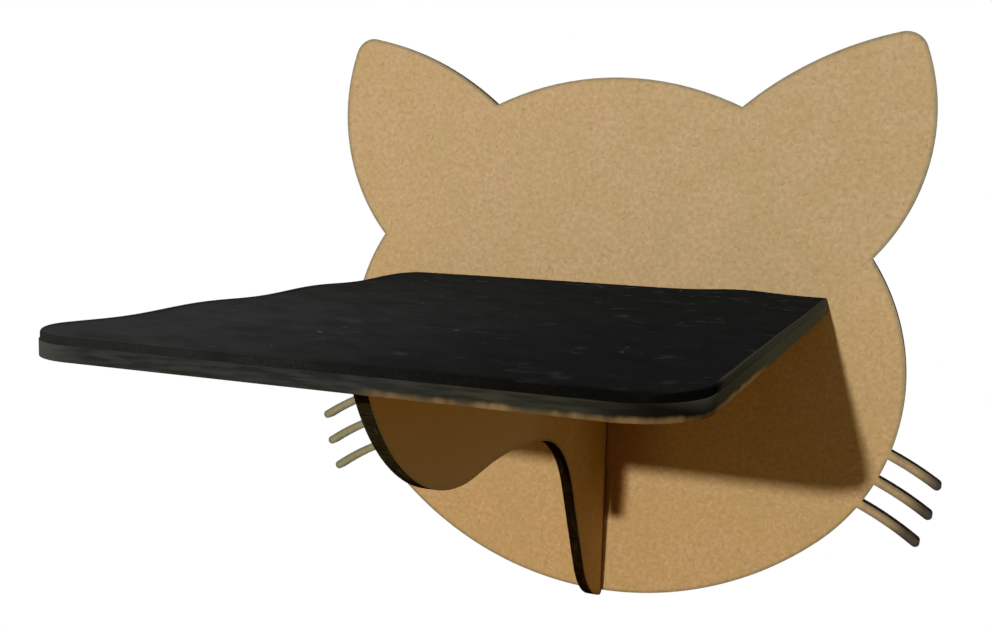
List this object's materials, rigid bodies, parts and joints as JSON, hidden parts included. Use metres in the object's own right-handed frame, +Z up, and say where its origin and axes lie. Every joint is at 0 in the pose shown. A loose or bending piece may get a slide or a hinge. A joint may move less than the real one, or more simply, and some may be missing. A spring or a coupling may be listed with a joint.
{
  "type": "cat wall shelf",
  "caption": "Wall shelf for a cat: a felt-topped board on a shaped bracket, held by a back plate in the outline of a cat's head with ears and whiskers.",
  "frame": {"origin": "on the wall plane, at the centre of the four wall-screw holes", "axes": "+X along the wall, to the right when facing the shelf; +Y into the wall; +Z up"},
  "size_m": [0.3792, 0.323, 0.3273],
  "materials": {
    "plate_board": "raw fibreboard with dark cut edges",
    "shelf_board": "raw fibreboard with blackened edges",
    "bracket_board": "raw fibreboard with dark cut edges",
    "black_felt": "matt pressed felt"
  },
  "bodies": {
    "root": {"back_plate": "plate_board", "shelf_board": "shelf_board", "shelf_mat": "black_felt", "support_bracket": "bracket_board"}
  },
  "joints": []
}
